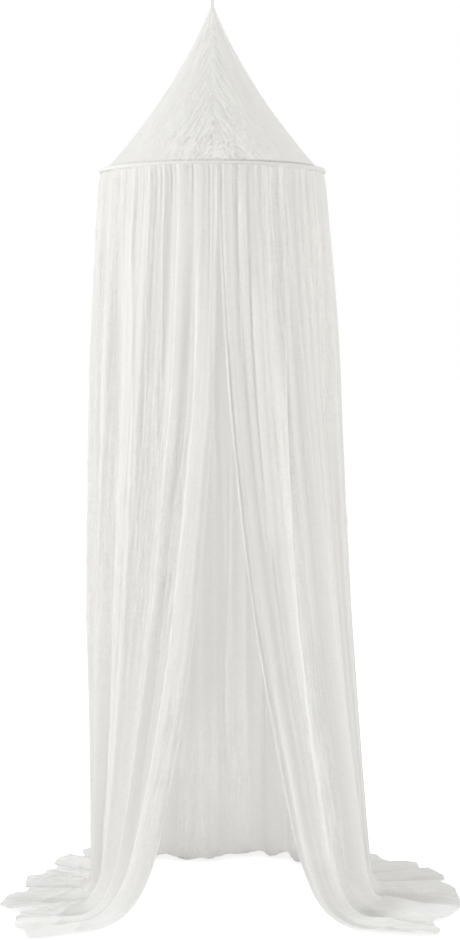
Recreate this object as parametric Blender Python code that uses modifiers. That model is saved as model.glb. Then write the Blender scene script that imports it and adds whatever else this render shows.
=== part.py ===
"""Mosquito net canopy of crinkled cotton muslin, with the hoop that it hangs from.

A tape loop carries a hollow-sided roof of two gores.  The roof is sewn to a
rolled channel round a plain hoop, and a long gathered curtain hangs from the
channel, opens at the front and lies pooled on the floor to both sides.

Units are metres, +Z is up and the front looks along -Y.  The origin is the
hang point, at the inner top of the tape loop.
"""

import math
from collections import namedtuple

import bmesh
import bpy
from mathutils import Vector

# ---------------------------------------------------------------- dimensions

HANG_HEIGHT = 2.075        # hang point above the floor that the hem lies on
APEX_HEIGHT = 2.016        # tip of the roof
HOOP_HEIGHT = 1.652        # centre of the hoop
HOOP_RADIUS = 0.250        # hoop's centre line: a 0.5 m hoop

CLOTH = 0.002              # thickness of the modelled cloth
TOUCH = 0.0004             # space left between pieces that are sewn together
SEAM_GAP = 0.0009          # the same between the two gores, whose edges pucker

CHANNEL_RADIUS = 0.006     # middle of the channel's rolled wall
CHANNEL_SLIT = 26.0        # degrees left open on the channel's inner side
HOOP_WIRE = 0.0045         # radius of the hoop's rod
RING_STEPS = 60
CHANNEL_STEPS = 9
WIRE_STEPS = 8

TIP_RADIUS = 0.0046        # middle of the roof's wall at its tip
HOLLOW = 0.385             # how far the gores are cut in between tip and hoop
ROOF_FOOT_ANGLE = 203.0    # where the gores meet the channel, round its section
PUCKER_DEPTH = 0.0012      # puckers along the gores' seams
PUCKER_REACH = 12.0        # degrees from the seam over which they die out
ROOF_RIPPLE = 0.006        # soft lengthwise folds, deepest halfway down
ROOF_FOLDS = 7             # lengthwise folds in one gore
GORE_COLUMNS = 28
GORE_ROWS = 11

TAPE_WIDTH = 0.012         # hanging tape, over its loop
TAPE_THROAT = 0.0056       # the same tape, pinched together at the tip
TAPE_THICKNESS = 0.0012
LOOP_RADIUS = 0.0085       # inner radius of the loop's top bend
LOOP_TUCK = 0.007          # length of tape caught inside the roof's tip
THROAT_SPREAD = 0.0017     # distance between the tape's two ends there

FLARE = 0.016              # how far the curtain bells out under the hoop
FLARE_DROP = 0.17          # over this drop, by a factor e
GATHER_DEPTH = 0.0035      # depth of the gathers at the channel
FULL_FOLD_AT = 0.30        # part of the drop over which folds reach full depth
POOL_LIFT = 0.62           # height of a fold lying on the floor to its depth
HEM_LIFT = 0.30            # the same at the hem
CALM_FROM = 0.70           # part of the drop at which folds start to grow calmer
TURN_REACH = 0.5           # how far the turn runs out over the floor, to its height
COLUMN_STEP = 2.9          # degrees at the hoop, at most about this

# Rows of the curtain: parts of the drop, of the turn at the floor, of the pool
DROP_ROWS = (0.0, 0.022, 0.06, 0.13, 0.25, 0.42, 0.60, 0.80, 1.0)
TURN_ROWS = (0.28, 0.52, 0.76, 1.0)
POOL_ROWS = (0.34, 0.68, 1.0)

# The curtain's smooth form, one row for each sector.  at_hoop is in degrees
# from the front, through the left, to the right edge of the opening.  foot is
# where the falling cloth aims at the floor, turn is the height at which it
# starts to turn outwards, and sweep is the power with which it leaves the
# vertical.
Sector = namedtuple("Sector", "at_hoop foot_x foot_y turn sweep")
SECTORS = [Sector(*row) for row in (
    (-2.0, -0.163, -0.271, 0.200, 2.2),
    (6.0, -0.207, -0.246, 0.180, 2.0),
    (17.0, -0.226, -0.210, 0.150, 1.8),
    (31.0, -0.241, -0.162, 0.120, 1.6),
    (48.0, -0.255, -0.102, 0.090, 1.5),
    (66.0, -0.266, -0.041, 0.070, 1.5),
    (85.0, -0.271, 0.020, 0.060, 1.5),
    (108.0, -0.259, 0.103, 0.050, 1.5),
    (130.0, -0.215, 0.192, 0.050, 1.5),
    (152.0, -0.137, 0.266, 0.050, 2.0),
    (164.0, -0.085, 0.251, 0.050, 3.5),
    (178.0, -0.012, 0.240, 0.050, 4.5),
    (189.0, 0.045, 0.266, 0.050, 3.0),
    (199.0, 0.095, 0.294, 0.050, 2.0),
    (210.0, 0.143, 0.274, 0.050, 1.7),
    (221.0, 0.184, 0.236, 0.052, 1.6),
    (231.0, 0.219, 0.199, 0.055, 1.5),
    (250.0, 0.296, 0.144, 0.060, 1.5),
    (270.0, 0.350, 0.056, 0.070, 1.6),
    (290.0, 0.357, -0.033, 0.080, 1.6),
    (308.0, 0.344, -0.104, 0.100, 1.6),
    (326.0, 0.310, -0.178, 0.130, 1.7),
    (345.0, 0.256, -0.254, 0.170, 1.9),
    (357.0, 0.224, -0.300, 0.210, 1.9),
)]

# Where the hem lies on the floor, in uneven lobes.
Hem = namedtuple("Hem", "at_hoop x y")
HEM = [Hem(*row) for row in (
    (-2.0, -0.391, -0.381),
    (4.0, -0.408, -0.335),
    (11.0, -0.430, -0.282),
    (22.0, -0.434, -0.226),
    (31.0, -0.427, -0.190),
    (39.0, -0.455, -0.166),
    (47.0, -0.480, -0.137),
    (57.0, -0.466, -0.083),
    (66.0, -0.446, -0.048),
    (73.0, -0.423, -0.012),
    (80.0, -0.438, 0.022),
    (88.0, -0.428, 0.074),
    (95.0, -0.402, 0.130),
    (102.0, -0.370, 0.170),
    (109.0, -0.385, 0.212),
    (117.0, -0.358, 0.262),
    (124.0, -0.318, 0.285),
    (131.0, -0.322, 0.332),
    (138.0, -0.285, 0.372),
    (145.0, -0.240, 0.372),
    (152.0, -0.210, 0.412),
    (160.0, -0.155, 0.430),
    (168.0, -0.103, 0.408),
    (176.0, -0.050, 0.430),
    (184.0, 0.005, 0.441),
    (191.0, 0.058, 0.418),
    (199.0, 0.110, 0.438),
    (207.0, 0.168, 0.430),
    (214.0, 0.212, 0.396),
    (221.0, 0.268, 0.396),
    (229.0, 0.318, 0.362),
    (236.0, 0.348, 0.312),
    (243.0, 0.390, 0.275),
    (248.0, 0.424, 0.238),
    (253.0, 0.452, 0.212),
    (258.0, 0.491, 0.205),
    (263.0, 0.500, 0.168),
    (268.0, 0.497, 0.138),
    (273.0, 0.540, 0.115),
    (277.0, 0.547, 0.072),
    (281.0, 0.529, 0.036),
    (286.0, 0.548, -0.012),
    (294.0, 0.562, -0.085),
    (303.0, 0.555, -0.155),
    (311.0, 0.532, -0.220),
    (318.0, 0.512, -0.252),
    (325.0, 0.484, -0.268),
    (334.0, 0.482, -0.296),
    (345.0, 0.490, -0.324),
    (353.0, 0.483, -0.352),
    (357.0, 0.470, -0.372),
)]

# The main folds, one row for each: where its ridge and the valley after it
# start at the hoop in degrees, and its depth in the hanging cloth and low down.
Fold = namedtuple("Fold", "ridge valley depth low")
FOLDS = [Fold(*row) for row in (
    (6.0, 12.0, 0.015, 0.013),
    (17.0, 25.0, 0.016, 0.014),
    (34.0, 47.0, 0.019, 0.016),
    (57.0, 67.0, 0.018, 0.015),
    (73.0, 80.0, 0.011, 0.010),
    (87.0, 95.0, 0.016, 0.013),
    (101.0, 108.0, 0.012, 0.009),
    (116.0, 125.0, 0.018, 0.013),
    (131.0, 139.0, 0.012, 0.008),
    (145.0, 151.0, 0.015, 0.008),
    (159.0, 168.0, 0.018, 0.007),
    (174.0, 181.0, 0.013, 0.006),
    (188.0, 197.0, 0.018, 0.009),
    (203.0, 209.0, 0.014, 0.009),
    (216.0, 225.0, 0.017, 0.012),
    (231.0, 237.0, 0.012, 0.010),
    (243.0, 251.0, 0.018, 0.014),
    (257.0, 263.0, 0.012, 0.011),
    (269.0, 276.0, 0.016, 0.013),
    (284.0, 293.0, 0.014, 0.013),
    (304.0, 316.0, 0.016, 0.015),
    (328.0, 346.0, 0.023, 0.020),
    (354.0, 362.0, 0.012, 0.011),
)]
FIRST_VALLEY = -6.0        # before the first ridge, past the left edge

# Colours and finishes: slot, base colour, roughness, metallic
MUSLIN = ("muslin", (0.80, 0.80, 0.77), 0.95, 0.0)
TAPE = ("tape", (0.82, 0.82, 0.80), 0.85, 0.0)
HOOP_ROD = ("hoop rod", (0.78, 0.78, 0.76), 0.45, 0.0)


# ------------------------------------------------------------- small helpers

def above_floor(height):
    """World Z of a height measured from the floor."""
    return height - HANG_HEIGHT


def smoothstep(value):
    """Ease from 0 to 1 as value goes from 0 to 1."""
    value = min(max(value, 0.0), 1.0)
    return value * value * (3.0 - 2.0 * value)


def around(radius, degrees):
    """Point at a radius and an angle from the front, through the left."""
    angle = math.radians(degrees)
    return Vector((-radius * math.sin(angle), -radius * math.cos(angle), 0.0))


def along_table(rows, key, column):
    """Value of a table's column at a key, on a smooth curve through its rows."""
    keys = [row[0] for row in rows]
    values = [getattr(row, column) for row in rows]
    last = len(rows) - 1
    start = 0
    while start < last - 1 and key > keys[start + 1]:
        start += 1

    def slope(index):
        low, high = max(index - 1, 0), min(index + 1, last)
        return (values[high] - values[low]) / (keys[high] - keys[low])

    span = keys[start + 1] - keys[start]
    part = min(max((key - keys[start]) / span, 0.0), 1.0)
    square, cube = part * part, part * part * part
    return (
        (2 * cube - 3 * square + 1) * values[start]
        + (cube - 2 * square + part) * span * slope(start)
        + (3 * square - 2 * cube) * values[start + 1]
        + (cube - square) * span * slope(start + 1)
    )


def finish_material(finish):
    """Principled material for a (name, colour, roughness, metallic) finish."""
    name, colour, roughness, metallic = finish
    material = bpy.data.materials.get(name)
    if material is None:
        material = bpy.data.materials.new(name)
        material.use_nodes = True
        shader = material.node_tree.nodes["Principled BSDF"]
        shader.inputs["Base Color"].default_value = (*colour, 1.0)
        shader.inputs["Roughness"].default_value = roughness
        shader.inputs["Metallic"].default_value = metallic
    return material


def add_piece(name, mesh, finish, collection):
    """Put a mesh in the collection as one named piece with its finish."""
    piece = bpy.data.objects.new(name, mesh)
    mesh.materials.append(finish_material(finish))
    collection.objects.link(piece)
    return piece


def thicken(piece, thickness):
    """Give an open sheet its thickness, half to each side."""
    solidify = piece.modifiers.new("Cloth thickness", "SOLIDIFY")
    solidify.thickness = thickness
    solidify.offset = 0.0


def cloth_sheet(name, columns, rows, place, thickness, finish, collection):
    """Sheet of cloth: a grid laid where place(column, row) says, then thickened."""
    sheet = bmesh.new()
    bmesh.ops.create_grid(sheet, x_segments=columns, y_segments=rows, size=0.5)
    for vertex in sheet.verts:
        column = round((vertex.co.x + 0.5) * columns)
        row = round((vertex.co.y + 0.5) * rows)
        vertex.co = place(column, row)
    mesh = bpy.data.meshes.new(name)
    sheet.to_mesh(mesh)
    sheet.free()
    mesh.shade_smooth()
    piece = add_piece(name, mesh, finish, collection)
    thicken(piece, thickness)
    return piece


# --------------------------------------------------------------------- roof

def roof_radius(part):
    """Radius of the roof's cloth at a part of the way from tip to foot."""
    foot = HOOP_RADIUS + roof_foot().x
    return TIP_RADIUS + (foot - TIP_RADIUS) * (part - HOLLOW * part * (1.0 - part))


def roof_foot():
    """Roof's lower edge from the hoop's centre line: outwards in X, up in Z."""
    reach = CHANNEL_RADIUS + CLOTH + TOUCH
    angle = math.radians(ROOF_FOOT_ANGLE)
    return Vector((reach * math.cos(angle), 0.0, reach * math.sin(angle)))


def make_gore(name, side, collection):
    """One half of the roof, from the front seam round to the back seam."""
    foot_height = HOOP_HEIGHT + roof_foot().z

    def place(column, row):
        down = row / GORE_ROWS
        turn = 180.0 * column / GORE_COLUMNS
        fold = math.cos(2.0 * math.pi * ROOF_FOLDS * column / GORE_COLUMNS)
        relief = ROOF_RIPPLE * fold * down * (1.0 - down)
        if 0 < row < GORE_ROWS:
            near_seam = max(0.0, 1.0 - min(turn, 180.0 - turn) / PUCKER_REACH)
            relief += PUCKER_DEPTH * near_seam * math.cos(math.pi * row)
        point = around(roof_radius(down) + relief, turn)
        point.x = side * (abs(point.x) + 0.5 * SEAM_GAP)
        height = APEX_HEIGHT + (foot_height - APEX_HEIGHT) * down
        point.z = above_floor(height)
        return point

    return cloth_sheet(name, GORE_COLUMNS, GORE_ROWS, place, CLOTH, MUSLIN, collection)


# --------------------------------------------------------------- hang loop

def tape_route():
    """Middle line of the loop's tape and its width there, from end to end."""
    bend = LOOP_RADIUS + 0.5 * TAPE_THICKNESS
    centre = -LOOP_RADIUS
    tuck = above_floor(APEX_HEIGHT - LOOP_TUCK)
    throat = above_floor(APEX_HEIGHT + 0.002)
    half = 0.5 * THROAT_SPREAD
    stations = [(-half, tuck, TAPE_THROAT), (-half, throat, TAPE_THROAT)]
    for part in (0.25, 0.5, 0.75):
        ease = smoothstep(part)
        stations.append((
            -(half + (bend - half) * ease),
            throat + (centre - throat) * part,
            TAPE_THROAT + (TAPE_WIDTH - TAPE_THROAT) * ease,
        ))
    for degrees in range(180, 89, -18):
        angle = math.radians(degrees)
        stations.append((bend * math.cos(angle), centre + bend * math.sin(angle), TAPE_WIDTH))
    back = [(-y, z, width) for y, z, width in reversed(stations[:-1])]
    return stations + back


def make_hang_loop(collection):
    """The tape, doubled over the hang point, with both ends in the roof's tip."""
    route = tape_route()

    def place(column, row):
        y, z, width = route[row]
        return Vector(((column / 2.0 - 0.5) * width, y, z))

    return cloth_sheet(
        "hang_loop", 2, len(route) - 1, place, TAPE_THICKNESS, TAPE, collection)


# ---------------------------------------------------------- hoop and channel

def make_hoop(collection):
    """The plain ring inside the channel."""
    bpy.ops.mesh.primitive_torus_add(
        major_segments=RING_STEPS, minor_segments=WIRE_STEPS,
        major_radius=HOOP_RADIUS, minor_radius=HOOP_WIRE,
        location=(0.0, 0.0, above_floor(HOOP_HEIGHT)))
    ring = bpy.context.object
    ring.name = "hoop"
    ring.data.shade_smooth()
    ring.data.materials.append(finish_material(HOOP_ROD))
    bpy.context.collection.objects.unlink(ring)
    collection.objects.link(ring)
    return ring


def make_channel(collection):
    """Strip of cloth rolled round the hoop, open along a slit on its inner side."""
    section = bmesh.new()
    half_slit = 0.5 * CHANNEL_SLIT
    previous = None
    for step in range(CHANNEL_STEPS + 1):
        part = step / CHANNEL_STEPS
        angle = math.radians(180.0 - half_slit - (360.0 - CHANNEL_SLIT) * part)
        vertex = section.verts.new((
            HOOP_RADIUS + CHANNEL_RADIUS * math.cos(angle), 0.0,
            CHANNEL_RADIUS * math.sin(angle)))
        if previous is not None:
            section.edges.new((previous, vertex))
        previous = vertex
    mesh = bpy.data.meshes.new("hoop_channel")
    section.to_mesh(mesh)
    section.free()
    piece = add_piece("hoop_channel", mesh, MUSLIN, collection)
    piece.location.z = above_floor(HOOP_HEIGHT)
    screw = piece.modifiers.new("Round the hoop", "SCREW")
    screw.steps = RING_STEPS
    screw.render_steps = RING_STEPS
    screw.use_merge_vertices = True
    screw.merge_threshold = 0.0001
    screw.use_smooth_shade = True
    thicken(piece, CLOTH)
    return piece


# ------------------------------------------------------------------- curtain

def fold_at(at_hoop):
    """Ripple (-1 in a valley, 1 on a ridge) and the two depths at an angle."""
    valley = FIRST_VALLEY
    before = FOLDS[0]
    for fold in FOLDS:
        if at_hoop <= fold.ridge:
            part = (at_hoop - valley) / (fold.ridge - valley)
            return -math.cos(math.pi * part), *fold_share(before, fold, 0.5 + 0.5 * part)
        if at_hoop <= fold.valley:
            part = (at_hoop - fold.ridge) / (fold.valley - fold.ridge)
            after = FOLDS[min(FOLDS.index(fold) + 1, len(FOLDS) - 1)]
            return math.cos(math.pi * part), *fold_share(fold, after, 0.5 * part)
        valley, before = fold.valley, fold
    return -1.0, before.depth, before.low


def fold_share(here, there, part):
    """Both depths part of the way from one fold's ridge to the next one's."""
    ease = smoothstep(part)
    return (here.depth + (there.depth - here.depth) * ease,
            here.low + (there.low - here.low) * ease)


def curtain_base(at_hoop, way):
    """The curtain without its folds.  way runs 0 to 1 down the drop, 1 to 2
    round the turn at the floor and 2 to 3 over the pool, to the hem."""
    top = HOOP_HEIGHT - CHANNEL_RADIUS - 0.5 * CLOTH - TOUCH
    foot = Vector((
        along_table(SECTORS, at_hoop, "foot_x"), along_table(SECTORS, at_hoop, "foot_y"), 0.0))
    turn = along_table(SECTORS, at_hoop, "turn")
    sweep = along_table(SECTORS, at_hoop, "sweep")
    plumb = around(HOOP_RADIUS + FLARE, at_hoop)
    drop_end = 1.0 - turn / top

    def falling(part):
        drop = top * part
        radius = HOOP_RADIUS + FLARE * (1.0 - math.exp(-drop / FLARE_DROP))
        point = around(radius, at_hoop) + (foot - plumb) * part ** sweep
        point.z = top - drop
        return point

    if way <= 1.0:
        return falling(way * drop_end)
    start = falling(drop_end)
    slope = (foot - plumb) * sweep * drop_end ** (sweep - 1.0)
    corner = start + slope * (1.0 - drop_end)
    corner.z = 0.5 * CLOTH
    hem = Vector((
        along_table(HEM, at_hoop, "x"), along_table(HEM, at_hoop, "y"), 0.5 * CLOTH))
    outward = (hem - corner).normalized()
    landing = corner + outward * TURN_REACH * turn
    if way <= 2.0:
        part = way - 1.0
        return (start * (1.0 - part) ** 2 + corner * 2.0 * part * (1.0 - part)
                + landing * part ** 2)
    return landing.lerp(hem, way - 2.0)


def curtain_point(at_hoop, way):
    """A point of the curtain, with its gathers and folds."""
    small = 0.01
    here = curtain_base(at_hoop, way)
    across = curtain_base(at_hoop + small, way) - curtain_base(at_hoop - small, way)
    low, high = max(way - small, 0.0), min(way + small, 3.0)
    down = curtain_base(at_hoop, high) - curtain_base(at_hoop, low)
    outward = across.cross(down).normalized()
    ripple, depth, low = fold_at(at_hoop)
    hanging = GATHER_DEPTH + (depth - GATHER_DEPTH) * smoothstep(way / FULL_FOLD_AT)
    hanging += (low - depth) * smoothstep((way - CALM_FROM) / (1.0 - CALM_FROM))
    lift = POOL_LIFT + (HEM_LIFT - POOL_LIFT) * max(way - 2.0, 0.0)
    lying = smoothstep(way - 1.0)
    push = hanging * ripple * (1.0 - lying) + low * (1.0 + ripple) * lift * lying
    return here + outward * push


def curtain_columns():
    """Angles at the hoop of the curtain's columns: on every ridge and valley,
    and evenly between them."""
    left, right = SECTORS[0].at_hoop, SECTORS[-1].at_hoop
    stops = [left]
    for fold in FOLDS:
        stops += [fold.ridge, min(fold.valley, right)]
    angles = [left]
    for start, end in zip(stops, stops[1:]):
        steps = max(2, round((end - start) / COLUMN_STEP))
        angles += [start + (end - start) * step / steps for step in range(1, steps + 1)]
    return angles


def make_curtain(collection):
    """The long gathered cloth, one piece from the left to the right edge."""
    angles = curtain_columns()
    ways = list(DROP_ROWS)
    ways += [1.0 + part for part in TURN_ROWS]
    ways += [2.0 + part for part in POOL_ROWS]

    def place(column, row):
        point = curtain_point(angles[column], ways[row])
        point.z = above_floor(max(point.z, 0.5 * CLOTH))
        return point

    return cloth_sheet(
        "curtain", len(angles) - 1, len(ways) - 1, place, CLOTH, MUSLIN, collection)


def main():
    for thing in list(bpy.data.objects):
        bpy.data.objects.remove(thing)
    canopy = bpy.data.collections.new("mosquito_net_canopy")
    bpy.context.scene.collection.children.link(canopy)
    make_hang_loop(canopy)
    make_gore("cone_left", -1.0, canopy)
    make_gore("cone_right", 1.0, canopy)
    make_channel(canopy)
    make_hoop(canopy)
    make_curtain(canopy)


main()
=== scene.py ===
"""Looks of a mosquito net canopy of crinkled cotton muslin, round its CAD frame.

The curtain, the two gores of the roof, the rolled channel and the hanging tape
are thin sheets laid on the folds of their CAD solids, with the gathers, creases
and crinkles that show from closer by.  Lengths are in metres, +Z is up and the
front looks along -Y.  The origin is the hang point.
"""

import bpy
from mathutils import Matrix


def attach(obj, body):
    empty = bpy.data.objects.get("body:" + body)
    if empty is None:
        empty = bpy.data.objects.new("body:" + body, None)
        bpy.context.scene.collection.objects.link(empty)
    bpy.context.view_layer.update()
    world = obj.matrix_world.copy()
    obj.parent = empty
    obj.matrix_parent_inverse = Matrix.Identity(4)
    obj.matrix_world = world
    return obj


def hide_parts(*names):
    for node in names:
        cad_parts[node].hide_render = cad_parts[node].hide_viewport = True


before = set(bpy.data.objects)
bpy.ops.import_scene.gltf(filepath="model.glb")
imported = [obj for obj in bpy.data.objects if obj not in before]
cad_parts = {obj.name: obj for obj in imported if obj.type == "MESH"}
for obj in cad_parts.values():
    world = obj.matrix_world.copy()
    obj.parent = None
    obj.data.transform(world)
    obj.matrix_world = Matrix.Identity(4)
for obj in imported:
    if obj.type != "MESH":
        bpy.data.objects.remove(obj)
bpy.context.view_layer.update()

import math
import random
from collections import namedtuple

import bmesh
import bpy
import numpy as np
from mathutils import Vector, noise

# ------------------------------ sizes, as in the CAD where nothing else is said

HANG_HEIGHT = 2.075        # hang point above the floor that the hem lies on
APEX_HEIGHT = 2.016        # tip of the roof
HOOP_HEIGHT = 1.652        # centre of the hoop
HOOP_RADIUS = 0.250        # hoop's centre line

CHANNEL_RADIUS = 0.0056    # rolled channel round the rod, thinner than its solid
CHANNEL_SLIT = 26.0        # degrees left open on the channel's inner side
TOUCH = 0.0004             # space left between pieces that are sewn together
SEAM_GAP = 0.0006          # space between the gores, less than their solids leave

TIP_RADIUS = 0.0046        # the roof's cloth at its tip
HOLLOW = 0.385             # how far the gores are cut in between tip and hoop
ROOF_FOOT_ANGLE = 203.0    # where the gores meet the channel, round its section
ROOF_RIPPLE = 0.006        # soft lengthwise folds, deepest halfway down
ROOF_FOLDS = 7

TAPE_WIDTH = 0.012
TAPE_THROAT = 0.0056       # the same tape, pinched together at the tip
TAPE_THICKNESS = 0.0010    # a little under its solid's
LOOP_RADIUS = 0.0085       # inner radius of the loop's top bend
LOOP_TUCK = 0.007          # length of tape caught inside the roof's tip
THROAT_SPREAD = 0.0017     # distance between the tape's two ends there

FLARE = 0.016              # how far the curtain bells out under the hoop
FLARE_DROP = 0.17          # over this drop, by a factor e
FULL_FOLD_AT = 0.30        # part of the drop over which folds reach full depth
TOP_FOLD = 0.0022          # depth of the main folds at the channel
POOL_LIFT = 0.62           # height of a fold lying on the floor to its depth
HEM_LIFT = 0.30            # the same at the hem
CALM_FROM = 0.70           # part of the drop at which folds start to grow calmer
TURN_REACH = 0.5           # how far the turn runs out over the floor, to its height
LYING = 0.0008             # height of the sheet's middle where it lies flat

# -------------------------------------------------------- sizes of the finish

FRONT_STEP = 0.36          # degrees between the curtain's columns at the front
BACK_STEP = 0.62           # the same at the sides and back
FRONT_REACH = 75.0         # degrees each side of the opening that count as front
DROP_ROWS = 84
TURN_ROWS = 16
POOL_ROWS = 26
WIDTH_ROW = 62             # row in the drop along which the cloth's width is laid
GORE_ROWS = 170
GORE_COLUMNS = 420

ROOF_CREASE = 0.0038       # creases that run down the roof
ROOF_FINE_CREASE = 0.0026
ROOF_CRUMPLE = 0.0044      # crumpled cloth at the foot of the seams
PUCKER_DEPTH = 0.0022      # puckers along the roof's seams
SEAM_WANDER = 0.0022       # how far those seams stray sideways
FOOT_LINE = (0.960, 0.986)  # line of painted shade at the roof's foot, by the part of its way down

GATHER_DEPTH = 0.0036      # gathers under the channel, 7 degrees apart
PLEAT_DEPTH = 0.0014       # finer ones between them
CRINKLE_DEPTH = 0.0026     # crinkles that are in the mesh; finer ones are bump
CRUMPLE_DEPTH = 0.0062     # crumpled cloth on the floor
RUFFLE_DEPTH = 0.0050      # how far the hem strays from its smooth line
HEM_WIDTH = 0.008          # doubled cloth along the curtain's edges
HEM_WAVE = 0.0035          # how high the hem stands off the floor
SEWN_OUT = 0.0058          # where the curtain's top edge laps over the channel
SEWN_UP = 0.0052
SEWN_DROP = 0.016
SEWN_RIDGE = 0.0030        # how far it stands out there on top of that
EDGES_MEET = 0.0021        # how far each edge leans to the other under the channel

CURTAIN_CUT = (2.20, 1.82)  # flat width and length of its cloth, measured on the sheet
GORE_SLANT = 0.442          # from the roof's tip to its foot

# The curtain's smooth form, close to its solid's, one row for each sector.
# at_hoop is in degrees from the front, through the left, to the right edge of
# the opening.  foot is where the falling cloth aims at the floor, turn is the
# height at which it starts to turn outwards, and sweep is the power with which
# it leaves the vertical.
Sector = namedtuple("Sector", "at_hoop foot_x foot_y turn sweep")
SECTORS = [Sector(*row) for row in (
    (-2.0, -0.159, -0.271, 0.200, 2.5),
    (6.0, -0.206, -0.246, 0.180, 2.1),
    (17.0, -0.226, -0.210, 0.150, 1.8),
    (31.0, -0.241, -0.162, 0.120, 1.6),
    (48.0, -0.255, -0.102, 0.090, 1.5),
    (66.0, -0.266, -0.041, 0.070, 1.5),
    (85.0, -0.271, 0.020, 0.060, 1.5),
    (108.0, -0.259, 0.103, 0.050, 1.5),
    (130.0, -0.215, 0.192, 0.050, 1.5),
    (152.0, -0.137, 0.266, 0.050, 2.0),
    (164.0, -0.085, 0.251, 0.050, 3.5),
    (178.0, -0.012, 0.240, 0.050, 4.5),
    (189.0, 0.045, 0.266, 0.050, 3.0),
    (199.0, 0.095, 0.294, 0.050, 2.0),
    (210.0, 0.143, 0.274, 0.050, 1.7),
    (221.0, 0.184, 0.236, 0.052, 1.6),
    (231.0, 0.219, 0.199, 0.055, 1.5),
    (250.0, 0.296, 0.144, 0.060, 1.5),
    (270.0, 0.350, 0.056, 0.070, 1.6),
    (290.0, 0.357, -0.033, 0.080, 1.6),
    (308.0, 0.344, -0.104, 0.100, 1.6),
    (326.0, 0.310, -0.178, 0.130, 1.7),
    (345.0, 0.256, -0.254, 0.170, 1.9),
    (357.0, 0.218, -0.300, 0.210, 1.9),
)]

# Where the hem lies on the floor, in uneven lobes.
Hem = namedtuple("Hem", "at_hoop x y")
HEM = [Hem(*row) for row in (
    (-2.0, -0.391, -0.381),
    (4.0, -0.408, -0.335),
    (11.0, -0.430, -0.282),
    (22.0, -0.434, -0.226),
    (31.0, -0.427, -0.190),
    (39.0, -0.455, -0.166),
    (47.0, -0.480, -0.137),
    (57.0, -0.466, -0.083),
    (66.0, -0.446, -0.048),
    (73.0, -0.423, -0.012),
    (80.0, -0.438, 0.022),
    (88.0, -0.428, 0.074),
    (95.0, -0.402, 0.130),
    (102.0, -0.370, 0.170),
    (109.0, -0.385, 0.212),
    (117.0, -0.358, 0.262),
    (124.0, -0.318, 0.285),
    (131.0, -0.322, 0.332),
    (138.0, -0.285, 0.372),
    (145.0, -0.240, 0.372),
    (152.0, -0.210, 0.412),
    (160.0, -0.155, 0.430),
    (168.0, -0.103, 0.408),
    (176.0, -0.050, 0.430),
    (184.0, 0.005, 0.441),
    (191.0, 0.058, 0.418),
    (199.0, 0.110, 0.438),
    (207.0, 0.168, 0.430),
    (214.0, 0.212, 0.396),
    (221.0, 0.268, 0.396),
    (229.0, 0.318, 0.362),
    (236.0, 0.348, 0.312),
    (243.0, 0.390, 0.275),
    (248.0, 0.424, 0.238),
    (253.0, 0.452, 0.212),
    (258.0, 0.491, 0.205),
    (263.0, 0.500, 0.168),
    (268.0, 0.497, 0.138),
    (273.0, 0.540, 0.115),
    (277.0, 0.547, 0.072),
    (281.0, 0.529, 0.036),
    (286.0, 0.548, -0.012),
    (294.0, 0.562, -0.085),
    (303.0, 0.555, -0.155),
    (311.0, 0.532, -0.220),
    (318.0, 0.512, -0.252),
    (325.0, 0.484, -0.268),
    (334.0, 0.482, -0.296),
    (345.0, 0.490, -0.324),
    (353.0, 0.483, -0.352),
    (357.0, 0.470, -0.372),
)]

# The main folds, one row for each: where its ridge and the valley after it
# start at the hoop in degrees, its depth in the hanging cloth and low down, and
# how far it leans over where it lies on the floor, to the left seen from outside.
Fold = namedtuple("Fold", "ridge valley depth low lean")
FOLDS = [Fold(*row) for row in (
    (4.8, 7.2, 0.005, 0.008, 0.000),
    (15.6, 20.0, 0.006, 0.008, 0.000),
    (34.0, 50.0, 0.010, 0.012, -0.004),
    (57.5, 67.0, 0.014, 0.015, 0.005),
    (73.0, 80.0, 0.011, 0.010, 0.000),
    (87.0, 95.0, 0.016, 0.013, -0.005),
    (101.0, 108.0, 0.012, 0.009, 0.003),
    (116.0, 125.0, 0.018, 0.013, 0.006),
    (131.0, 139.0, 0.012, 0.008, 0.000),
    (145.0, 151.0, 0.014, 0.005, -0.003),
    (159.0, 168.0, 0.015, 0.003, 0.004),
    (174.0, 181.0, 0.011, 0.003, 0.000),
    (188.0, 197.0, 0.015, 0.005, -0.004),
    (203.0, 209.0, 0.013, 0.006, 0.003),
    (216.0, 225.0, 0.017, 0.012, 0.000),
    (231.0, 237.0, 0.012, 0.010, -0.004),
    (243.0, 251.0, 0.018, 0.014, 0.006),
    (257.0, 263.0, 0.012, 0.011, 0.000),
    (269.0, 276.0, 0.016, 0.013, 0.005),
    (284.0, 300.0, 0.014, 0.013, -0.004),
    (312.0, 332.0, 0.013, 0.017, 0.006),
    (341.0, 349.5, 0.003, 0.007, 0.006),
    (355.0, 362.0, 0.001, 0.002, 0.000),
)]
FIRST_VALLEY = -6.0        # before the first ridge, past the left edge

# Where gathers stand out under the channel at the front
GATHERS_LEFT = (-9.0, -1.3, 6.7, 15.0, 23.0, 31.4, 41.7, 49.5, 57.0)
GATHERS_RIGHT = (298.0, 305.1, 310.4, 316.2, 325.6, 335.3, 340.6, 345.6, 353.3, 361.0, 367.0)

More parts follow.
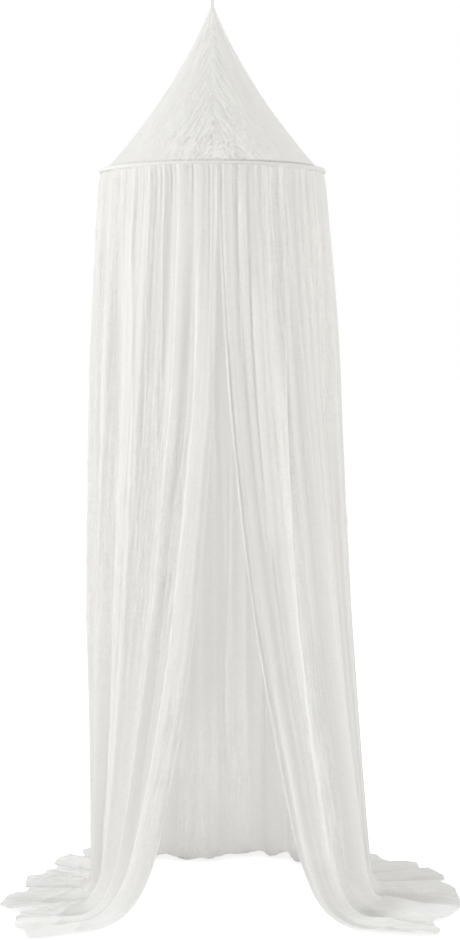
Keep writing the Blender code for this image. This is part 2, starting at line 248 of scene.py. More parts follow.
# Creases that show at the front, one row for each: its angle at the hoop where
# it starts and where it ends, the part of the way down (0 to 1 to the floor's
# turn) at both ends, its height, and how far its left and its right side run
# out, seen from outside.
Crease = namedtuple("Crease", "at_start at_end start end height left right")
CREASES = [Crease(*row) for row in (
    (6.7, 4.2, 0.03, 1.50, 0.0055, 0.0025, 0.022),
    (15.0, 16.2, 0.02, 0.50, 0.0050, 0.003, 0.022),
    (16.0, 13.0, 0.38, 1.30, 0.0034, 0.004, 0.014),
    (23.0, 22.4, 0.01, 0.34, 0.0032, 0.003, 0.004),
    (30.4, 28.2, 0.01, 0.62, 0.0036, 0.004, 0.006),
    (35.0, 40.0, 0.35, 0.96, 0.0024, 0.004, 0.010),
    (41.5, 30.0, 0.02, 0.66, 0.0036, 0.016, 0.003),
    (49.0, 47.4, 0.02, 0.42, 0.0040, 0.003, 0.014),
    (47.6, 53.0, 0.30, 1.10, 0.0036, 0.003, 0.018),
    (54.5, 61.0, 0.08, 1.00, 0.0040, 0.020, 0.004),
    (0.8, -0.4, 0.20, 1.10, 0.0036, 0.006, 0.003),
    (10.4, 9.0, 0.28, 0.95, 0.0020, 0.004, 0.006),
    (356.7, 356.9, 0.12, 1.40, 0.0036, 0.002, 0.0018),
    (355.4, 355.6, 0.12, 1.40, -0.0030, 0.0015, 0.006),
    (342.0, 343.8, 0.14, 0.60, 0.0050, 0.009, 0.030),
    (346.5, 349.0, 0.02, 0.30, 0.0030, 0.004, 0.006),
    (337.5, 340.0, 0.03, 0.85, 0.0026, 0.004, 0.010),
    (325.5, 341.5, 0.20, 1.20, 0.0065, 0.035, 0.0022),
    (325.0, 325.0, 0.60, 1.40, -0.0040, 0.024, 0.024),
    (320.0, 317.0, 0.02, 0.50, 0.0030, 0.005, 0.005),
    (312.6, 311.6, 0.04, 0.55, -0.0034, 0.004, 0.004),
    (308.0, 309.5, 0.20, 1.25, 0.0042, 0.003, 0.020),
    (303.0, 296.0, 0.03, 0.85, 0.0030, 0.010, 0.005),
)]

FRONT_LIGHT = 0.58         # light all round, from the front and from behind
BACK_LIGHT = 1.25
LEFT_LIGHT = 0.11          # how much stronger it is from the left
TOP_SHADE = 0.41           # how much weaker it is from straight above
FLOOR_LIGHT = 0.27         # the floor's own light on the cloth,
FLOOR_SEEN = 0.33          # and how much more of it is seen, so that it looks white
Lamp = namedtuple("Lamp", "name x y height width watts colour")
LAMPS = (
    Lamp("softbox_left", -2.9, -1.5, 3.0, 0.8, 82.0, (0.97, 0.98, 1.00)),
    Lamp("softbox_right", 2.8, -1.4, 2.8, 0.8, 46.0, (1.00, 1.00, 1.00)),
)

MUSLIN_COLOUR = (0.858, 0.852, 0.832)
CHANNEL_COLOUR = (0.862, 0.853, 0.826)
TAPE_COLOUR = (0.880, 0.878, 0.865)
MUSLIN_SHEER = 0.52        # share of the light that passes through the cloth
CRINKLE_HIGHLIGHT_TONE = 0.04        # painted highlight: how much lighter crinkle lines and crease crests are made
PAINTED_HIGHLIGHT_TONE = 0.12
PAINTED_SHADE_TONE = -0.36        # and how much darker the painted shade makes crevices, valleys and the roof's foot


# ------------------------------------------------------------- small helpers

def above_floor(height):
    """World Z of a height measured from the floor."""
    return height - HANG_HEIGHT


def smoothstep(value):
    """Ease from 0 to 1 as value goes from 0 to 1."""
    value = np.clip(value, 0.0, 1.0)
    return value * value * (3.0 - 2.0 * value)


def around(radius, degrees):
    """Points at a radius and an angle from the front, through the left."""
    angle = np.radians(degrees)
    return np.stack(np.broadcast_arrays(
        -radius * np.sin(angle), -radius * np.cos(angle), 0.0 * angle), axis=-1)


def unit(vectors):
    """The same directions at length 1."""
    return vectors / np.maximum(np.linalg.norm(vectors, axis=-1, keepdims=True), 1e-9)


def along_table(rows, wanted, column):
    """A table column's values at the wanted keys, on a smooth curve through
    its rows."""
    keys = np.array([row[0] for row in rows])
    values = np.array([getattr(row, column) for row in rows])
    slopes = np.gradient(values, keys)
    slopes[1:-1] = (values[2:] - values[:-2]) / (keys[2:] - keys[:-2])
    start = np.clip(np.searchsorted(keys, wanted) - 1, 0, len(keys) - 2)
    span = keys[start + 1] - keys[start]
    part = np.clip((wanted - keys[start]) / span, 0.0, 1.0)
    square, cube = part ** 2, part ** 3
    return (
        (2 * cube - 3 * square + 1) * values[start]
        + (cube - 2 * square + part) * span * slopes[start]
        + (3 * square - 2 * cube) * values[start + 1]
        + (cube - square) * span * slopes[start + 1]
    )


def rough(u, v, seed):
    """Smooth noise, about -1 to 1, at every point of two like grids."""
    grid = np.empty(u.shape)
    flat = grid.ravel()
    for index, (x, y) in enumerate(zip(u.ravel(), v.ravel())):
        flat[index] = noise.noise((x, y, seed))
    return grid


def thin_creases(u, v, seed, width=0.08):
    """Thin lines, 1 high, that wander over otherwise flat cloth."""
    return np.exp(-np.abs(rough(u, v, seed)) / width)


def cloth_sheet(name, places, cut, material, replaced):
    """A sheet of cloth from a grid of places, whose UV map lays it flat."""
    rows, columns = places.shape[0] - 1, places.shape[1] - 1
    sheet = bmesh.new()
    bmesh.ops.create_grid(sheet, x_segments=columns, y_segments=rows, size=0.5)
    layer = sheet.loops.layers.uv.new("cloth")
    for vertex in sheet.verts:
        column = round((vertex.co.x + 0.5) * columns)
        row = round((vertex.co.y + 0.5) * rows)
        vertex.index = row * (columns + 1) + column
        vertex.co = places[row, column]
    laid_flat = cut.reshape(-1, 2)
    for face in sheet.faces:
        for corner in face.loops:
            corner[layer].uv = laid_flat[corner.vert.index]
    sheet.verts.sort()
    mesh = bpy.data.meshes.new(name)
    sheet.to_mesh(mesh)
    sheet.free()
    mesh.shade_smooth()
    mesh.materials.append(material)
    piece = bpy.data.objects.new(name, mesh)
    bpy.context.scene.collection.objects.link(piece)
    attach(piece, "root")
    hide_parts(replaced)
    return piece


def paint(piece, name, values):
    """Keep one number for each point of a sheet, for its material."""
    layer = piece.data.attributes.new(name, "FLOAT", "POINT")
    layer.data.foreach_set("value", values.ravel().astype(np.float32))


# ----------------------------------------------------------------- materials

def add_node(tree, kind, inputs=(), **properties):
    """A node with its properties set, and its inputs set or linked by name."""
    added = tree.nodes.new("ShaderNode" + kind)
    for name, value in properties.items():
        setattr(added, name, value)
    for name, value in dict(inputs).items():
        if isinstance(value, bpy.types.NodeSocket):
            tree.links.new(value, added.inputs[name])
        else:
            added.inputs[name].default_value = value
    return added


def maths(tree, operation, first, second=0.0, third=0.0):
    """The output of a Math node."""
    return add_node(tree, "Math", {0: first, 1: second, 2: third},
                    operation=operation).outputs[0]


def stretched_noise(tree, place, scale, detail=2.0, roughness=0.55, distortion=0.0):
    """Noise, 0 to 1, with its own scale along each axis of the cloth."""
    mapping = add_node(tree, "Mapping", {"Vector": place, "Scale": (*scale, 1.0)})
    return add_node(tree, "TexNoise", {
        "Vector": mapping.outputs[0], "Scale": 1.0, "Detail": detail,
        "Roughness": roughness, "Distortion": distortion}).outputs[0]


def ridged(tree, level):
    """Turn noise into thin ridges where it passes its middle value."""
    off_middle = maths(tree, "ABSOLUTE", maths(tree, "SUBTRACT", level, 0.5))
    return maths(tree, "POWER", maths(tree, "SUBTRACT", 1.0, maths(
        tree, "MULTIPLY", off_middle, 4.0)), 3.0)


def weave(tree, place, pitch):
    """Height of a plain weave, with one warp and one weft thread a pitch."""
    waves = [
        add_node(tree, "TexWave", {"Vector": place, "Scale": 0.314 / pitch, "Distortion": 0.6},
                 bands_direction=axis).outputs["Fac"]
        for axis in "XY"]
    return maths(tree, "MAXIMUM", *waves)


def cloth_material(name, colour, sheer, crinkles, weave_pitch=0.0011):
    """Off-white woven cotton that lets light through.  crinkles holds a row for
    each kind of crinkle: how many in a metre across and along, and its height.
    Four numbers painted on a sheet change it: the crinkles show where it is crinkled, a painted
    highlight lightens the crests of creases, more layers let less light through, and painted shade
    darkens crevices, valleys and the roof's foot."""
    material = bpy.data.materials.new(name)
    material.use_nodes = True
    tree = material.node_tree
    tree.nodes.clear()
    place = add_node(tree, "UVMap", uv_map="cloth").outputs[0]

    wander = add_node(tree, "TexNoise", {"Vector": place, "Scale": 9.0, "Detail": 1.0})
    drift = add_node(tree, "VectorMath", {0: wander.outputs["Color"], 1: (0.5, 0.5, 0.5)},
                     operation="SUBTRACT").outputs[0]
    bent = add_node(tree, "VectorMath", {0: drift, 1: (0.016, 0.016, 0.0), 2: place},
                    operation="MULTIPLY_ADD").outputs[0]

    crinkled, painted_highlight, layers, painted_shade = (
        add_node(tree, "Attribute", attribute_name=painted).outputs["Fac"]
        for painted in ("crinkled", "painted_highlight", "layers", "painted_shade"))
    slubs = stretched_noise(tree, place, (40.0, 260.0), 3.0)
    tone = add_node(tree, "MapRange", {
        "Value": slubs, "From Min": 0.3, "From Max": 0.7,
        "To Min": 0.955, "To Max": 0.99}).outputs[0]
    height = maths(tree, "MULTIPLY", weave(tree, place, weave_pitch), 0.00006)
    for across, along, tall in crinkles:
        lines = ridged(tree, stretched_noise(tree, bent, (across, along)))
        lines = maths(tree, "MULTIPLY", lines, crinkled)
        height = maths(tree, "MULTIPLY_ADD", lines, tall, height)
        # Painted highlight along the crinkle lines.
        tone = maths(tree, "MULTIPLY_ADD", lines, CRINKLE_HIGHLIGHT_TONE, tone)
    bump = add_node(tree, "Bump", {"Height": height, "Strength": 1.0, "Distance": 1.0})

    # Painted highlight on crease crests and painted shade in crevices and valleys, in the colour.
    tone = maths(tree, "MULTIPLY_ADD", painted_highlight, PAINTED_HIGHLIGHT_TONE, tone)
    tone = maths(tree, "MULTIPLY_ADD", painted_shade, PAINTED_SHADE_TONE, tone)
    shade = add_node(tree, "VectorMath", {0: colour, "Scale": tone}, operation="SCALE").outputs[0]

    face = add_node(tree, "BsdfPrincipled", {
        "Base Color": shade, "Normal": bump.outputs[0], "Roughness": 0.92,
        "Sheen Weight": 0.25, "Sheen Roughness": 0.45, "Specular IOR Level": 0.25})
    glow = add_node(tree, "BsdfTranslucent", {"Color": shade, "Normal": bump.outputs[0]})
    passed = maths(tree, "MULTIPLY_ADD", layers, -0.3 * sheer, sheer)
    both = add_node(tree, "MixShader", {0: passed, 1: face.outputs[0], 2: glow.outputs[0]})
    add_node(tree, "OutputMaterial", {"Surface": both.outputs[0]})
    return material


def rod_material():
    """White lacquer of the hoop's rod, which the channel hides."""
    material = bpy.data.materials.new("hoop lacquer")
    material.use_nodes = True
    tree = material.node_tree
    tree.nodes.clear()
    place = add_node(tree, "TexCoord").outputs["Object"]
    specks = add_node(tree, "TexNoise", {"Vector": place, "Scale": 420.0, "Detail": 2.0})
    bump = add_node(tree, "Bump", {
        "Height": specks.outputs[0], "Strength": 0.3, "Distance": 0.0002})
    gloss = add_node(tree, "MapRange", {
        "Value": specks.outputs[0], "To Min": 0.30, "To Max": 0.50}).outputs[0]
    face = add_node(tree, "BsdfPrincipled", {
        "Base Color": (0.80, 0.80, 0.78, 1.0), "Roughness": gloss,
        "Normal": bump.outputs[0]})
    add_node(tree, "OutputMaterial", {"Surface": face.outputs[0]})
    return material


# --------------------------------------------------------------------- roof

def roof_foot():
    """Roof's lower edge from the hoop's centre line: outwards, and up."""
    reach = CHANNEL_RADIUS + 0.0005
    angle = math.radians(ROOF_FOOT_ANGLE)
    return reach * math.cos(angle), reach * math.sin(angle)


def make_gore(name, side, material, replaced):
    """One half of the roof, from the front seam round to the back seam."""
    down = np.linspace(0.0, 1.0, GORE_ROWS + 1)[:, None]
    turn = np.linspace(0.0, 180.0, GORE_COLUMNS + 1)[None, :]
    foot_out, foot_up = roof_foot()
    foot = HOOP_RADIUS + foot_out
    radius = TIP_RADIUS + (foot - TIP_RADIUS) * (down - HOLLOW * down * (1.0 - down))

    # Grain lines: across 0 is the middle of the gore, and the lines bend
    # towards the seams as the crinkles do.
    opening = math.pi * math.sin(math.atan2(foot, APEX_HEIGHT - HOOP_HEIGHT))
    from_middle = (turn / 180.0 - 0.5) * opening
    across = GORE_SLANT * down * np.sign(from_middle) * np.abs(np.sin(from_middle)) ** 2.4
    along = GORE_SLANT * down + 0.0 * turn

    # Crinkles, strongest by the seams and low down
    from_seam = np.minimum(turn, 180.0 - turn) / 180.0
    relief = ROOF_RIPPLE * np.cos(2.0 * math.pi * ROOF_FOLDS * turn / 180.0) * down * (1.0 - down)
    ends = smoothstep(down / 0.10) * smoothstep((1.0 - down) / 0.04)
    near_seam = smoothstep((0.36 - from_seam) / 0.30)
    wrinkled = ends * (0.22 + 0.78 * near_seam) * (0.40 + 0.60 * smoothstep(down * 1.2))
    seed = 3.1 + side
    patches = 0.45 + 0.55 * smoothstep(0.5 + 1.6 * rough(across * 22.0, along * 14.0, seed + 3.0))
    sharp = thin_creases(across * 66.0, along * 6.0, seed)
    relief = relief + ROOF_CREASE * wrinkled * sharp
    relief += ROOF_FINE_CREASE * wrinkled * patches * thin_creases(
        across * 110.0, along * 11.0, seed + 7.0)
    crumpled = near_seam * smoothstep(2.2 * down - 1.0)
    diamonds = thin_creases(across * 74.0 + along * 30.0, along * 52.0 - across * 24.0,
                            seed + 11.0, width=0.16)
    relief += ROOF_CRUMPLE * wrinkled * crumpled * diamonds
    pucker = np.maximum(0.0, 1.0 - from_seam * 22.0) ** 2
    relief += pucker * ends * (
        PUCKER_DEPTH * rough(along * 75.0, 0.0 * along + side, 5.0) - 0.0012)

    places = around(radius + relief, turn)
    wander = SEAM_WANDER * ends * rough(along * 22.0, 0.0 * along, 8.0) * np.exp(-8.0 * from_seam)
    places[..., 0] = side * (np.abs(places[..., 0]) + 0.5 * SEAM_GAP) + wander
    foot_height = HOOP_HEIGHT + foot_up
    places[..., 2] = above_floor(APEX_HEIGHT + (foot_height - APEX_HEIGHT) * down)
    cut = np.stack([across * side + 0.5 * (side + 1.0), along], axis=-1)

    # The foot is tucked in behind the channel; painted shade lines it, strongest at the front and
    # right.
    line_start, line_end = FOOT_LINE
    shaded = 0.35 + 0.65 * np.clip(np.sin(np.radians(turn)) * side + 0.4, 0.0, 1.0)
    shaded = shaded * (0.35 + 0.65 * smoothstep(0.75 + 0.75 * np.cos(np.radians(turn))))
    painted_shade = smoothstep((down - line_start) / 0.010) * smoothstep((line_end - down) / 0.010)
    painted_shade = painted_shade * shaded
    layers = 0.4 * smoothstep((0.008 - from_seam * math.pi * radius) / 0.004)
    crinkled = 0.45 + 0.25 * near_seam * patches
    # Painted highlight along the crests of the roof's creases and crumples.
    painted_highlight = wrinkled * np.maximum(0.6 * sharp, 0.8 * crumpled * diamonds)
    if side > 0.0:
        places, cut, crinkled, painted_highlight, painted_shade, layers = (
            grid[:, ::-1] for grid in (places, cut, crinkled, painted_highlight, painted_shade, layers))
    piece = cloth_sheet(name, places, cut, material, replaced)
    paint(piece, "crinkled", crinkled)
    paint(piece, "painted_highlight", painted_highlight)
    paint(piece, "painted_shade", painted_shade)
    paint(piece, "layers", layers)
    return piece


# --------------------------------------------------------------- hang loop

def make_hang_loop(material):
    """The tape, doubled over the hang point, with both ends in the roof's tip."""
    bend = LOOP_RADIUS + 0.5 * TAPE_THICKNESS
    centre = -LOOP_RADIUS
    tuck = above_floor(APEX_HEIGHT - LOOP_TUCK)
    throat = above_floor(APEX_HEIGHT + 0.002)
    half = 0.5 * THROAT_SPREAD
    stations = [(-half, tuck + (throat - tuck) * part, TAPE_THROAT)
                for part in np.linspace(0.0, 1.0, 6)]
    for part in np.linspace(0.0, 1.0, 25)[1:-1]:
        ease = float(smoothstep(part))
        stations.append((
            -(half + (bend - half) * ease), throat + (centre - throat) * part,
            TAPE_THROAT + (TAPE_WIDTH - TAPE_THROAT) * ease))
    for angle in np.radians(np.linspace(180.0, 90.0, 16)):
        stations.append((bend * math.cos(angle), centre + bend * math.sin(angle), TAPE_WIDTH))
    stations += [(-y, z, width) for y, z, width in reversed(stations[:-1])]

    y, z, width = (np.array(column)[:, None] for column in zip(*stations))
    part = np.linspace(-0.5, 0.5, 9)[None, :]
    places = np.stack([width * part, y + 0.0 * part, z + 0.0 * part], axis=-1)
    steps = np.linalg.norm(np.diff(places[:, 4], axis=0), axis=-1)
    along = np.concatenate([[0.0], np.cumsum(steps)])
    cut = np.stack([TAPE_WIDTH * part + 0.0 * along[:, None], along[:, None] + 0.0 * part], axis=-1)
    piece = cloth_sheet("loop_tape", places, cut, material, "hang_loop")
    solidify = piece.modifiers.new("Tape thickness", "SOLIDIFY")
    solidify.thickness = TAPE_THICKNESS
    solidify.offset = 0.0
    return piece


# ------------------------------------------------------------------- channel

def make_channel(material):
    """Strip of cloth rolled round the hoop, puckered along its two seams."""
    rows, columns = 22, 520
    part = np.linspace(0.0, 1.0, rows + 1)[:, None]
    turn = np.linspace(0.0, 360.0, columns + 1)[None, :]
    section = np.radians(180.0 - 0.5 * CHANNEL_SLIT - (360.0 - CHANNEL_SLIT) * part)
    waves = rough(np.cos(np.radians(turn)) * 36.0, np.sin(np.radians(turn)) * 36.0, 2.0)
    waves = 0.00035 * waves * (0.4 + 0.6 * np.abs(np.sin(section)))
    reach = CHANNEL_RADIUS + waves
    places = around(HOOP_RADIUS + reach * np.cos(section), turn)
    places[..., 2] = above_floor(HOOP_HEIGHT) + reach * np.sin(section)
    around_hoop = np.radians(turn) * HOOP_RADIUS + 0.0 * part
    round_roll = (section.max() - section) * CHANNEL_RADIUS + 0.0 * turn
    cut = np.stack([round_roll, around_hoop], axis=-1)
    piece = cloth_sheet("channel_roll", places, cut, material, "hoop_channel")
    paint(piece, "crinkled", 0.4 + 0.0 * round_roll)
    weld = piece.modifiers.new("Close the ring", "WELD")
    weld.merge_threshold = 0.00005
    return piece


# ------------------------------------------------------------------- curtain

def fold_waves(at_hoop):
    """Ripple (-1 in a valley, 1 on a ridge) of the main folds at each angle,
    with their depth, their depth low down and their lean there."""
    stops, levels = [FIRST_VALLEY], [-1.0]
    for fold in FOLDS:
        stops += [fold.ridge, fold.valley]
        levels += [1.0, -1.0]
    stops, levels = np.array(stops), np.array(levels)
    start = np.clip(np.searchsorted(stops, at_hoop) - 1, 0, len(stops) - 2)
    part = np.clip((at_hoop - stops[start]) / (stops[start + 1] - stops[start]), 0.0, 1.0)
    ripple = levels[start] * np.cos(math.pi * part)

    # From one ridge to the next, each fold hands over to its neighbour.
    rising = levels[start] < 0.0
    after = np.clip((start + 1) // 2, 0, len(FOLDS) - 1)
    before = np.where(start == 0, 0, (start - 1) // 2)
    share = smoothstep(np.where(rising, 0.5 + 0.5 * part, 0.5 * part))

    def blended(column):
        values = np.array([getattr(fold, column) for fold in FOLDS])
        return values[before] + (values[after] - values[before]) * share

    return ripple, blended("depth"), blended("low"), blended("lean")


def gather_waves(at_hoop, way, ridges, reaches, chance):
    """Gathers under the channel with their ridges at given angles, each with
    its own depth, about 1, that dies out over its own part of the drop."""
    depths = np.array([chance.uniform(0.2, 1.25) for _ in ridges])
    lengths = np.array([chance.choice(reaches) for _ in ridges])
    start = np.clip(np.searchsorted(ridges, at_hoop) - 1, 0, len(ridges) - 2)
    part = np.clip((at_hoop - ridges[start]) / (ridges[start + 1] - ridges[start]), 0.0, 1.0)
    nearer = np.where(part < 0.5, start, start + 1)
    crest = 2.0 * (0.5 + 0.5 * np.cos(2.0 * math.pi * part)) ** 2.2 - 1.0
    fade = 1.0 - smoothstep(way[:, None] / (2.2 * lengths[nearer])[None, :])
    depth = depths[start] + (depths[start + 1] - depths[start]) * smoothstep(part)
    return crest[None, :] * depth[None, :] * fade


def scattered(start, end, step, chance):
    """Angles from start to end, about a step apart."""
    angles = [start]
    while angles[-1] < end - 0.5 * step:
        angles.append(angles[-1] + step * chance.uniform(0.7, 1.3))
    return angles


def curtain_base(at_hoop, way):
    """The curtain without its folds.  way runs 0 to 1 down the drop, 1 to 2
    round the turn at the floor and 2 to 3 over the pool, to the hem."""
    top = HOOP_HEIGHT - CHANNEL_RADIUS - TOUCH
    column = {name: along_table(SECTORS, at_hoop, name) for name in Sector._fields[1:]}
    foot = np.stack([column["foot_x"], column["foot_y"], 0.0 * at_hoop], axis=-1)
    turn, sweep = column["turn"], column["sweep"]
    outwards = foot - around(HOOP_RADIUS + FLARE, at_hoop)
    drop_end = 1.0 - turn / top

    # Its top edge is sewn to the outer side of the channel, most at the front.
    covered = np.cos(np.radians(at_hoop)) ** 2

    def falling(part):
        drop = top * part
        sewn = np.exp(-drop / SEWN_DROP) * covered
        radius = HOOP_RADIUS + FLARE * (1.0 - np.exp(-drop / FLARE_DROP)) + SEWN_OUT * sewn
        points = around(radius, at_hoop) + outwards * (part ** sweep)[..., None]
        points[..., 2] = top - drop + SEWN_UP * sewn
        return points

    start = falling(drop_end)
    corner = start + outwards * (sweep * drop_end ** (sweep - 1.0) * (1.0 - drop_end))[..., None]
    corner[..., 2] = LYING
    hem = np.stack([
        along_table(HEM, at_hoop, "x"), along_table(HEM, at_hoop, "y"),
        LYING + 0.0 * at_hoop], axis=-1)
    landing = corner + unit(hem - corner) * (TURN_REACH * turn)[..., None]

    way = way[:, None]
    hanging = falling(np.minimum(way, 1.0) * drop_end[None, :])
    bend = np.clip(way - 1.0, 0.0, 1.0)[..., None]
    turning = start * (1.0 - bend) ** 2 + corner * 2.0 * bend * (1.0 - bend) + landing * bend ** 2
    lying = landing + (hem - landing) * np.maximum(way - 2.0, 0.0)[..., None]
    return np.where(way[..., None] <= 1.0, hanging, np.where(way[..., None] <= 2.0, turning, lying))


def curtain_angles():
    """Angles at the hoop of the curtain's columns, closer at the front."""
    left, right = SECTORS[0].at_hoop, SECTORS[-1].at_hoop
    front = round((FRONT_REACH - left) / FRONT_STEP)
    back = round((360.0 - 2.0 * FRONT_REACH) / BACK_STEP)
    other = round((right - 360.0 + FRONT_REACH) / FRONT_STEP)
    return np.concatenate([
        np.linspace(left, FRONT_REACH, front + 1)[:-1],
        np.linspace(FRONT_REACH, 360.0 - FRONT_REACH, back + 1)[:-1],
        np.linspace(360.0 - FRONT_REACH, right, other + 1)])


def press_creases(at_hoop, way, wander, per_degree, chance):
    """Sharp creases, listed at the front and scattered round the rest: their height over the sheet,
    how much painted highlight each point gets along their crests, and how much painted shade it
    gets at the foot of a crease's steep side and along sunken creases."""
    creases = list(CREASES)
    for at in scattered(66.0, 296.0, 4.5, chance):
        start = chance.uniform(0.02, 0.4)
        creases.append(Crease(
            at, at + chance.uniform(-4.0, 4.0), start, start + chance.uniform(0.3, 0.9),
            chance.uniform(0.0015, 0.0042), chance.choice((0.003, 0.008, 0.018)),
            chance.choice((0.003, 0.008, 0.018))))
    height = np.zeros(wander.shape)
    painted_highlight = np.zeros(wander.shape)
    painted_shade = np.zeros(wander.shape)
    for crease in creases:
        part = np.clip((way - crease.start) / (crease.end - crease.start), 0.0, 1.0)
        fade = smoothstep(np.minimum(part, 1.0 - part) * 6.0)[:, None]
        line = (crease.at_start + (crease.at_end - crease.at_start) * part)[:, None]
        off = (at_hoop[None, :] + wander - line) * per_degree
        ridge = np.exp(-np.abs(off) / np.where(off > 0.0, crease.left, crease.right)) * fade
        height += crease.height * ridge
        strength = crease.height / 0.0050
        # Painted highlight along the crest.
        painted_highlight = np.maximum(painted_highlight, strength * ridge)
        # Painted shade at the foot of the steep side, and along sunken creases.
        steep = 1.0 if crease.left < crease.right else -1.0
        foot = np.exp(-((steep * off - 0.007) / 0.0045) ** 2) * fade
        painted_shade = np.maximum(painted_shade, np.maximum(strength * foot, -strength * ridge))
    return height, painted_highlight, painted_shade


def make_curtain(material):
    """The long gathered cloth, one piece from the left to the right edge."""
    chance = random.Random(41)
    at_hoop = curtain_angles()
    drop = np.linspace(0.0, 1.0, DROP_ROWS + 1)
    way = np.concatenate([
        [0.0, 0.0015, 0.0035], (drop * (0.55 + 0.45 * drop))[1:],
        1.0 + np.linspace(0.0, 1.0, TURN_ROWS + 1)[1:],
        2.0 + np.linspace(0.0, 1.0, POOL_ROWS + 1)[1:]])
    base = curtain_base(at_hoop, way)
    down = unit(np.gradient(base, axis=0))
    across = unit(np.gradient(base, axis=1))
    outward = unit(np.cross(across, down))

    # Main folds
    ripple, depth, low, lean = fold_waves(at_hoop)
    level = way[:, None]
    lying = smoothstep(level - 1.0)
    pool = np.maximum(level - 2.0, 0.0)
    hanging = TOP_FOLD + (depth - TOP_FOLD) * smoothstep(level / FULL_FOLD_AT)
    hanging = hanging + (low - depth) * smoothstep((level - CALM_FROM) / (1.0 - CALM_FROM))
    lift = POOL_LIFT + (HEM_LIFT - POOL_LIFT) * pool
    push = hanging * ripple * (1.0 - lying) + low * (1.0 + ripple) * lift * lying

    # Where each point lies in the flat cloth
    width, length = CURTAIN_CUT
    laid = (base + outward * push[..., None])[WIDTH_ROW]
    steps = np.linalg.norm(np.diff(laid, axis=0), axis=-1)
    u = np.concatenate([[0.0], np.cumsum(steps)])
    u = np.broadcast_to(u / u[-1] * width, level.shape[:1] + at_hoop.shape)
    lengths = np.linalg.norm(np.diff(base, axis=0), axis=-1).mean(axis=1)
    v = np.concatenate([[0.0], np.cumsum(lengths)])
    v = np.broadcast_to((v / v[-1] * length)[:, None], u.shape)

    # Gathers and creases
    gathers = np.array([*GATHERS_LEFT, *scattered(64.0, 290.0, 7.0, chance), *GATHERS_RIGHT])
    pleats = np.array(scattered(-8.0, 366.0, 2.6, chance))
    push = push + GATHER_DEPTH * gather_waves(
        at_hoop, way, gathers, (0.14, 0.2, 0.3, 0.45, 0.7), chance)
    push = push + PLEAT_DEPTH * gather_waves(
        at_hoop, way, pleats, (0.04, 0.07, 0.12, 0.2), chance)
    wander = rough(v * 3.0, u * 0.8, 9.0) + 0.5 * rough(v * 13.0, u * 2.0, 19.0)
    sewn = np.exp(-level * HOOP_HEIGHT / SEWN_DROP)
    lapped = sewn * np.cos(np.radians(at_hoop)) ** 2
    push = push * (1.0 - 0.6 * sewn) + SEWN_RIDGE * lapped
    crease_height, painted_highlight, painted_shade = press_creases(at_hoop, way, wander, width / 359.0, chance)

    # Crinkles, in patches, with more of them at the front and left
    patches = smoothstep(0.16 + 2.6 * rough(u * 10.0, v * 1.8, 1.0)
                         + 0.42 * np.cos(np.radians(at_hoop - 50.0)))
    sharp = thin_creases(u * 30.0, v * 2.2, 14.0)
    crinkle = (sharp + 0.6 * thin_creases(u * 72.0, v * 7.0, 4.0)
               + 0.4 * rough(u * 118.0, v * 12.0, 44.0)
               + 0.7 * patches * thin_creases(u * 48.0 + v * 15.0, v * 22.0 - u * 10.0, 24.0))
    push = push + crease_height
    push = push + CRINKLE_DEPTH * crinkle * (0.12 + 0.88 * patches) * smoothstep(v / 0.03)

    # Crumpled cloth on the floor
    crumple = 0.5 + rough(u * 12.0, v * 12.0, 21.0) + 0.45 * rough(u * 30.0, v * 26.0, 22.0)
    crumple += 0.9 * thin_creases(u * 13.0 + v * 4.0, v * 7.0, 23.0)
    push = push + CRUMPLE_DEPTH * np.maximum(crumple, 0.0) * lying
    edge = smoothstep((level - 2.6) / 0.4)
    push = push + HEM_WAVE * edge * np.maximum(rough(u * 20.0, 0.0 * v, 31.0), 0.0)

    # The two edges meet under the channel.
    left, right = at_hoop[0], at_hoop[-1]
    meet = EDGES_MEET * (np.exp((at_hoop - right) / 1.5) - np.exp((left - at_hoop) / 1.5))
    meet = meet * (1.0 - smoothstep(level / 0.14))

    places = base + outward * push[..., None] + across * meet[..., None]
    places += across * (lean * np.maximum(ripple, 0.0) ** 2 * lying)[..., None]
    places += down * (RUFFLE_DEPTH * edge * rough(u * 19.0, 0.0 * v, 33.0))[..., None]
    places[..., 2] = above_floor(np.maximum(places[..., 2], LYING))
    cut = np.stack([u, length - v], axis=-1)
    piece = cloth_sheet("curtain_muslin", places, cut, material, "curtain")

    # More than one layer of cloth: at the hems, in the strip turned back at the
    # left edge, where it is sewn to the channel and where it lies on the floor.
    from_edge = np.minimum(np.minimum(u, width - u), length - v)
    turned_back = 0.4 * smoothstep(5.6 - at_hoop) * smoothstep((level - 0.15) / 0.2)
    layers = np.maximum(smoothstep((HEM_WIDTH - from_edge) / 0.003), turned_back)
    layers = np.maximum(layers, 1.5 * lapped ** 1.5)
    paint(piece, "crinkled", 0.25 + 0.55 * patches)
    # Painted highlight on the crests of the creases and on the crinkle lines.
    paint(piece, "painted_highlight", np.maximum(painted_highlight, 0.5 * sharp * patches))
    paint(piece, "layers", np.maximum(layers, 2.8 * lying))
    # Painted shade at the foot of the creases, and in the valleys of the cloth that lies on the
    # floor.
    paint(piece, "painted_shade", np.maximum(
        0.2 * painted_shade, lying * (0.10 + 0.45 * smoothstep(-ripple) * (1.0 - 0.6 * pool))))
    return piece


# ------------------------------------------------------------ floor and light

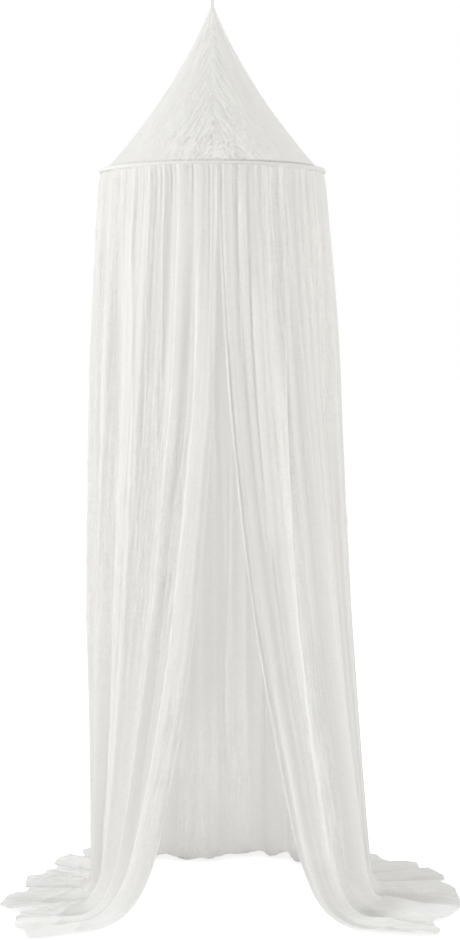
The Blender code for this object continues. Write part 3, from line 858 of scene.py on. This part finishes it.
def make_stage():
    """A plain pale floor and backdrop, under soft light from all round that is
    stronger from behind and from the left."""
    floor = bmesh.new()
    bmesh.ops.create_grid(floor, x_segments=1, y_segments=1, size=40.0)
    for vertex in floor.verts:
        vertex.co.z = above_floor(0.0)
    mesh = bpy.data.meshes.new("floor")
    floor.to_mesh(mesh)
    floor.free()
    material = bpy.data.materials.new("floor")
    material.use_nodes = True
    tree = material.node_tree
    seen = add_node(tree, "LightPath").outputs["Is Camera Ray"]
    shader = tree.nodes["Principled BSDF"]
    shader.inputs["Base Color"].default_value = (0.70, 0.70, 0.70, 1.0)
    shader.inputs["Roughness"].default_value = 0.9
    shader.inputs["Specular IOR Level"].default_value = 0.0
    shader.inputs["Emission Color"].default_value = (1.0, 1.0, 1.0, 1.0)
    glow = maths(tree, "MULTIPLY_ADD", seen, FLOOR_SEEN, FLOOR_LIGHT)
    tree.links.new(glow, shader.inputs["Emission Strength"])
    mesh.materials.append(material)
    plane = bpy.data.objects.new("floor", mesh)
    bpy.context.scene.collection.objects.link(plane)

    # The backdrop shows plain white, and lights the cloth from behind.
    world = bpy.data.worlds.new("studio")
    world.use_nodes = True
    tree = world.node_tree
    tree.nodes.clear()
    towards = add_node(tree, "TexCoord").outputs["Generated"]
    axes = add_node(tree, "SeparateXYZ", {0: towards})
    strength = maths(tree, "MULTIPLY_ADD", axes.outputs["Y"], 0.5 * (BACK_LIGHT - FRONT_LIGHT),
                     0.5 * (BACK_LIGHT + FRONT_LIGHT))
    strength = maths(tree, "MULTIPLY_ADD", axes.outputs["X"], -LEFT_LIGHT, strength)
    strength = maths(tree, "MULTIPLY_ADD", axes.outputs["Z"], -TOP_SHADE, strength)
    lighting = add_node(tree, "Background", {"Strength": strength, "Color": (1.0, 1.0, 1.0, 1.0)})
    backdrop = add_node(tree, "Background", {"Strength": 1.0, "Color": (1.0, 1.0, 1.0, 1.0)})
    seen = add_node(tree, "LightPath").outputs["Is Camera Ray"]
    both = add_node(tree, "MixShader", {0: seen, 1: lighting.outputs[0], 2: backdrop.outputs[0]})
    add_node(tree, "OutputWorld", {"Surface": both.outputs[0]})
    bpy.context.scene.world = world

    middle = Vector((0.0, 0.0, above_floor(1.1)))
    for lamp in LAMPS:
        light = bpy.data.lights.new(lamp.name, "AREA")
        light.energy = lamp.watts
        light.color = lamp.colour
        light.shape = "RECTANGLE"
        light.size, light.size_y = lamp.width, 1.5 * lamp.width
        softbox = bpy.data.objects.new(lamp.name, light)
        softbox.location = (lamp.x, lamp.y, above_floor(lamp.height))
        aim = middle - softbox.location
        softbox.rotation_euler = aim.to_track_quat("-Z", "Y").to_euler()
        bpy.context.scene.collection.objects.link(softbox)
    bpy.context.scene.view_settings.view_transform = "Standard"


def make_camera():
    """The photograph's view: long lens, a little above the middle."""
    lens = bpy.data.cameras.new("camera")
    lens.sensor_width = 36.0
    lens.lens = 77.02
    camera = bpy.data.objects.new("camera", lens)
    camera.location = (0.0, -4.576, above_floor(1.312))
    camera.rotation_euler = (math.radians(90.0 - 4.178), 0.0, math.radians(-0.496))
    bpy.context.scene.collection.objects.link(camera)
    bpy.context.scene.camera = camera


def main():
    curtain_cloth = cloth_material(
        "crinkled muslin", MUSLIN_COLOUR, MUSLIN_SHEER,
        ((75.0, 6.0, 0.0009), (150.0, 16.0, 0.0006), (60.0, 110.0, 0.00025)))
    roof_cloth = cloth_material(
        "crinkled muslin of the roof", MUSLIN_COLOUR, MUSLIN_SHEER,
        ((90.0, 8.0, 0.0010), (165.0, 18.0, 0.0006)))
    channel_cloth = cloth_material(
        "rolled muslin", CHANNEL_COLOUR, 0.45 * MUSLIN_SHEER, ((60.0, 220.0, 0.0006),))
    tape_cloth = cloth_material(
        "cotton tape", TAPE_COLOUR, 0.35, (), weave_pitch=0.0009)

    make_curtain(curtain_cloth)
    left = make_gore("roof_left", -1.0, roof_cloth, "cone_left")
    right = make_gore("roof_right", 1.0, roof_cloth, "cone_right")
    make_channel(channel_cloth)
    make_hang_loop(tape_cloth)
    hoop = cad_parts["hoop"]
    hoop.data.materials.clear()
    hoop.data.materials.append(rod_material())
    make_stage()
    make_camera()


main()
